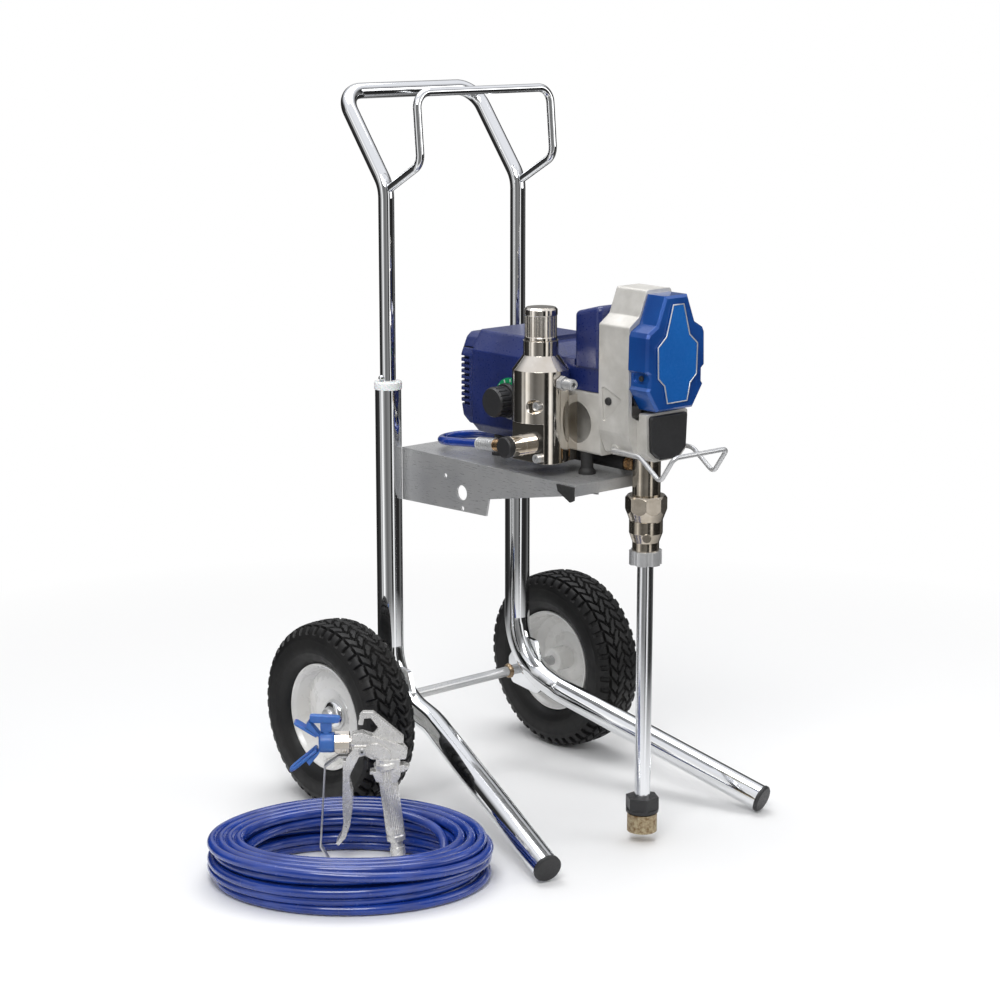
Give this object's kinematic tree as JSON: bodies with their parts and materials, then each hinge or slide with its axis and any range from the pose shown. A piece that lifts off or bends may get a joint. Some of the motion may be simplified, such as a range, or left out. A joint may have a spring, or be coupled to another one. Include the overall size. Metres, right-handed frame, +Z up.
{
  "type": "airless paint sprayer",
  "caption": "Airless paint sprayer on a high chromed two-wheel cart, with filter manifold, suction tube, spray gun and coiled hose.",
  "frame": {"origin": "on the floor under the middle of the box around the sprayer and its gun, the loose hose left out", "axes": "+Z up; -Y to the front, where the legs and the pump point; +X to the sprayer's left-hand side as seen from behind it"},
  "size_m": [0.7699, 0.5908, 0.9515],
  "materials": {
    "frame_chrome": "polished",
    "black_plastic": "matte",
    "white_plastic": "matte",
    "zinc_steel": "satin",
    "tyre_rubber": "matte",
    "rim_paint": "gloss",
    "navy_plastic": "semi gloss",
    "cover_blue": "metallic gloss",
    "label_blue": "gloss",
    "cast_alloy": "cast",
    "nickel": "polished nickel",
    "steel_inner": "machined",
    "alloy_tube": "satin",
    "black_rubber": "matte",
    "hose_blue": "gloss",
    "gun_metal": "satin",
    "tip_blue": "satin",
    "brass": "machined"
  },
  "bodies": {
    "cart": {"lower_frame_left": "frame_chrome", "lower_frame_right": "frame_chrome", "leg_plugs": "black_plastic", "axle_bar": "zinc_steel", "frame_collars": "white_plastic", "axle_caps": "zinc_steel", "platform": "zinc_steel", "motor_shroud": "navy_plastic", "motor_end_cover": "navy_plastic", "motor_stator": "steel_inner", "cradle": "cast_alloy", "cradle_feet": "black_rubber", "gear_hood": "navy_plastic", "electronics_cover": "navy_plastic", "drive_housing": "cast_alloy", "front_cover": "cover_blue", "label_panel": "label_blue", "pail_hook": "zinc_steel", "pump_cylinder": "nickel", "pump_nut": "nickel", "intake_body": "nickel", "suction_nut": "zinc_steel", "suction_tube": "alloy_tube", "strainer_bushing": "black_plastic", "strainer": "zinc_steel", "manifold": "nickel", "manifold_bolts": "zinc_steel", "outlet_nipple": "zinc_steel", "pressure_dial": "black_plastic", "link_hose": "hose_blue", "link_sheath": "black_rubber", "link_fittings": "brass", "hose_coil": "hose_blue", "hose_couplings": "zinc_steel"},
    "handle": {"handle_tube": "frame_chrome", "hose_rack": "frame_chrome", "handle_guides": "black_plastic"},
    "snap_left": {"snap_button_left": "frame_chrome"},
    "snap_right": {"snap_button_right": "frame_chrome"},
    "wheel_left": {"tyre_left": "tyre_rubber", "rim_left": "rim_paint"},
    "wheel_right": {"tyre_right": "tyre_rubber", "rim_right": "rim_paint"},
    "rotor": {"armature": "steel_inner"},
    "crank": {"reduction_gear": "steel_inner"},
    "con_rod": {"connecting_rod": "steel_inner"},
    "plunger": {"pump_rod": "steel_inner"},
    "door": {"access_door": "black_plastic"},
    "cap": {"filter_cap": "nickel"},
    "drain": {"drain_knob": "black_plastic"},
    "pressure": {"pressure_knob": "black_plastic"},
    "switch": {"power_switch": "black_plastic"},
    "gun": {"gun_body": "gun_metal", "gun_handle": "gun_metal", "gun_guard": "zinc_steel", "retaining_nut": "nickel"},
    "trigger": {"gun_trigger": "gun_metal"},
    "lock": {"trigger_lock": "black_plastic"},
    "guard": {"tip_guard": "tip_blue"},
    "tip": {"spray_tip": "tip_blue"}
  },
  "joints": [
    {"name": "handle_height", "type": "slide", "parent": "cart", "child": "handle", "axis": [0, 0, 1], "range_m": [-0.2, 0]},
    {"name": "snap_left_press", "type": "slide", "parent": "handle", "child": "snap_left", "axis": [1, 0, 0], "range_m": [0, 0.006], "stiffness_N_per_m": 900, "springref_m": -0.004},
    {"name": "snap_right_press", "type": "slide", "parent": "handle", "child": "snap_right", "axis": [-1, 0, 0], "range_m": [0, 0.006], "stiffness_N_per_m": 900, "springref_m": -0.004},
    {"name": "wheel_left_spin", "type": "hinge", "parent": "cart", "child": "wheel_left", "pos_m": [-0.13807, 0.16845, 0.127], "axis": [1, 0, 0], "continuous": true},
    {"name": "wheel_right_spin", "type": "hinge", "parent": "cart", "child": "wheel_right", "pos_m": [0.27193, 0.16845, 0.127], "axis": [1, 0, 0], "continuous": true},
    {"name": "crank_spin", "type": "hinge", "parent": "cart", "child": "crank", "pos_m": [0.06693, -0.17455, 0.608], "axis": [0, 1, 0], "continuous": true},
    {"name": "rotor_spin", "type": "hinge", "parent": "cart", "child": "rotor", "pos_m": [0.06693, -0.02955, 0.572], "axis": [0, 1, 0], "continuous": true},
    {"name": "con_rod_pin", "type": "hinge", "parent": "crank", "child": "con_rod", "pos_m": [0.06693, -0.19955, 0.6], "axis": [0, 1, 0], "continuous": true},
    {"name": "plunger_stroke", "type": "slide", "parent": "cart", "child": "plunger", "axis": [0, 0, 1], "range_m": [0, 0.016]},
    {"name": "door_hinge", "type": "hinge", "parent": "cart", "child": "door", "pos_m": [0.06693, -0.23655, 0.5095], "axis": [1, 0, 0], "range_deg": [0, 85]},
    {"name": "cap_turn", "type": "hinge", "parent": "cart", "child": "cap", "pos_m": [-0.01307, -0.09055, 0.65], "axis": [0, 0, 1], "range_deg": [0, 360]},
    {"name": "drain_turn", "type": "hinge", "parent": "cart", "child": "drain", "pos_m": [-0.05807, -0.07555, 0.514], "axis": [-1, 0, 0], "range_deg": [0, 90]},
    {"name": "pressure_turn", "type": "hinge", "parent": "cart", "child": "pressure", "pos_m": [-0.01307, -0.00955, 0.558], "axis": [-1, 0, 0], "range_deg": [0, 270]},
    {"name": "switch_rock", "type": "hinge", "parent": "cart", "child": "switch", "pos_m": [0.11153, -0.13955, 0.651], "axis": [0, 1, 0], "range_deg": [-7, 7]},
    {"name": "gun_lift", "type": "slide", "parent": "cart", "child": "gun", "axis": [0, 0, 1], "range_m": [0, 0.3]},
    {"name": "trigger_pull", "type": "hinge", "parent": "gun", "child": "trigger", "pos_m": [-0.25107, -0.02484, 0.1495], "axis": [-0.6613, -0.7501, 0], "range_deg": [0, 18], "stiffness_Nm_per_rad": 0.6, "springref_deg": -14.32},
    {"name": "lock_swing", "type": "hinge", "parent": "gun", "child": "lock", "pos_m": [-0.24844, -0.02715, 0.135], "axis": [0.6613, 0.7501, 0], "range_deg": [0, 75]},
    {"name": "guard_turn", "type": "hinge", "parent": "gun", "child": "guard", "pos_m": [-0.28408, 0.00426, 0.158], "axis": [-0.7501, 0.6613, 0], "range_deg": [-90, 90]},
    {"name": "tip_turn", "type": "hinge", "parent": "guard", "child": "tip", "pos_m": [-0.28482, 0.00492, 0.158], "axis": [0, 0, 1], "range_deg": [0, 180]}
  ],
  "couplings": [
    {"joint": "rotor_spin", "follows": "crank_spin", "ratio": -5},
    {"joint": "con_rod_pin", "follows": "crank_spin", "ratio": -1}
  ]
}
